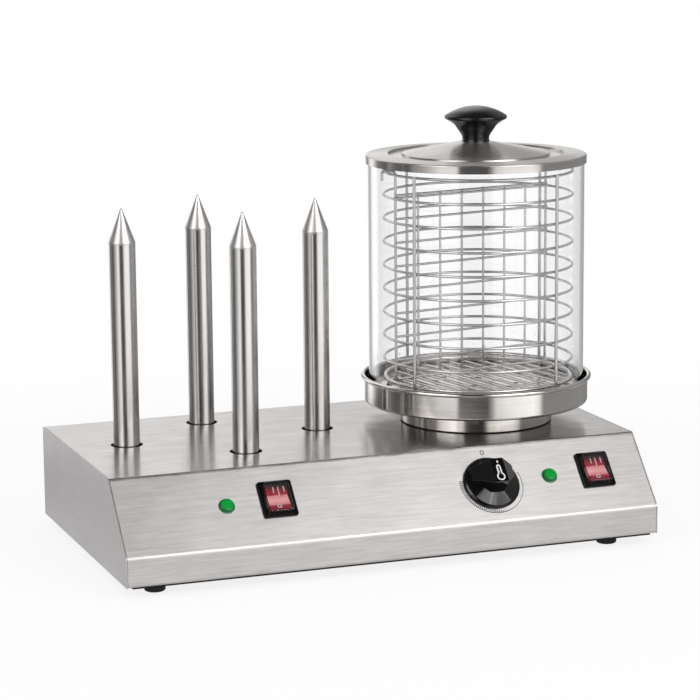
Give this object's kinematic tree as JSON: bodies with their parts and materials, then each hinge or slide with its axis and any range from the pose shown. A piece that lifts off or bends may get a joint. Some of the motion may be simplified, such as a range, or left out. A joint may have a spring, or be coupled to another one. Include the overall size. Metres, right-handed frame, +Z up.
{
  "type": "countertop hot dog toaster with steamer",
  "caption": "Countertop hot dog toaster: sheet-steel casing, heated bun rods, and a glass steam cylinder over a water pot, with basket, divider and lid.",
  "frame": {"origin": "centre of the whole object's footprint box on the table, under the feet", "axes": "+X right and +Y back as seen from the control side, +Z up"},
  "size_m": [0.5, 0.2975, 0.39],
  "materials": {
    "casing_steel": "brushed stainless sheet, grain along X",
    "coated_steel": "dark powder-coated sheet",
    "plain_steel": "plain zinc-coated sheet",
    "zinc_steel": "bright zinc plating",
    "foot_rubber": "matt black rubber",
    "gasket_rubber": "silicone rubber",
    "rod_steel": "polished stainless tube",
    "heater_sheath": "oxidised heater sheath",
    "spun_steel": "satin spun stainless, grain round the axis",
    "heat_aluminium": "as rolled",
    "wire_chrome": "bright wire",
    "clear_glass": "clear heat-proof glass, ground edges",
    "knob_plastic": "glossy black moulding",
    "bezel_plastic": "satin black moulding",
    "body_plastic": "matt black moulding",
    "rocker_red": "translucent red, lit from inside",
    "cover_clear": "clear flexible cover",
    "lens_green": "translucent green lens",
    "thermostat_metal": "pressed steel case",
    "capillary_copper": "bare copper tube and bulb"
  },
  "bodies": {
    "base": {"casing_wrap": "casing_steel", "left_end_panel": "casing_steel", "right_end_panel": "casing_steel", "base_plate": "coated_steel", "rod_bracket": "plain_steel", "base_screws": "zinc_steel", "foot_screws": "zinc_steel", "rod_nuts": "zinc_steel", "thermostat_nut": "zinc_steel", "element_clamp": "zinc_steel", "foot_front_left": "foot_rubber", "foot_front_right": "foot_rubber", "foot_rear_left": "foot_rubber", "foot_rear_right": "foot_rubber", "pot_gasket": "gasket_rubber", "toasting_rod_left": "rod_steel", "toasting_rod_rear": "rod_steel", "toasting_rod_front": "rod_steel", "toasting_rod_right": "rod_steel", "rod_heater_left": "heater_sheath", "rod_heater_rear": "heater_sheath", "rod_heater_front": "heater_sheath", "rod_heater_right": "heater_sheath", "heating_element": "heater_sheath", "steam_pot": "spun_steel", "pot_collar": "spun_steel", "heat_plate": "heat_aluminium", "switch_frame_left": "bezel_plastic", "switch_frame_right": "bezel_plastic", "switch_housing_left": "body_plastic", "switch_housing_right": "body_plastic", "lamp_body_left": "body_plastic", "lamp_body_right": "body_plastic", "cable_gland": "body_plastic", "gland_locknut": "body_plastic", "terminal_block": "body_plastic", "switch_cover_left": "cover_clear", "switch_cover_right": "cover_clear", "lamp_lens_left": "lens_green", "lamp_lens_right": "lens_green", "thermostat_body": "thermostat_metal", "thermostat_bulb": "capillary_copper"},
    "knob": {"temperature_knob": "knob_plastic", "thermostat_shaft": "zinc_steel"},
    "rocker_left": {"switch_rocker_left": "rocker_red"},
    "rocker_right": {"switch_rocker_right": "rocker_red"},
    "glass": {"glass_cylinder": "clear_glass"},
    "steam_plate": {"steam_plate": "spun_steel"},
    "basket": {"basket_top_ring": "wire_chrome", "basket_rings": "wire_chrome", "basket_base_ring": "wire_chrome", "basket_uprights": "wire_chrome", "basket_floor": "wire_chrome"},
    "divider": {"divider_grid": "wire_chrome", "divider_hook_left": "wire_chrome", "divider_hook_right": "wire_chrome"},
    "lid": {"lid": "spun_steel", "lid_knob": "knob_plastic", "lid_screw": "zinc_steel"}
  },
  "joints": [
    {"name": "knob_turn", "type": "hinge", "parent": "base", "child": "knob", "pos_m": [0.0967, -0.12207, 0.06426], "axis": [0, 0.7405, -0.672], "range_deg": [0, 270]},
    {"name": "rocker_left_tilt", "type": "hinge", "parent": "base", "child": "rocker_left", "pos_m": [-0.1049, -0.11787, 0.06666], "axis": [1, 0, 0], "range_deg": [0, 14]},
    {"name": "rocker_right_tilt", "type": "hinge", "parent": "base", "child": "rocker_right", "pos_m": [0.2002, -0.11848, 0.06599], "axis": [1, 0, 0], "range_deg": [0, 14]},
    {"name": "glass_lift", "type": "slide", "parent": "base", "child": "glass", "axis": [0, 0, 1], "range_m": [0, 0.06]},
    {"name": "steam_plate_lift", "type": "slide", "parent": "glass", "child": "steam_plate", "axis": [0, 0, 1], "range_m": [0, 0.24]},
    {"name": "basket_lift", "type": "slide", "parent": "steam_plate", "child": "basket", "axis": [0, 0, 1], "range_m": [0, 0.23]},
    {"name": "divider_lift", "type": "slide", "parent": "basket", "child": "divider", "axis": [0, 0, 1], "range_m": [0, 0.21]},
    {"name": "lid_lift", "type": "slide", "parent": "divider", "child": "lid", "axis": [0, 0, 1], "range_m": [0, 0.12]}
  ]
}
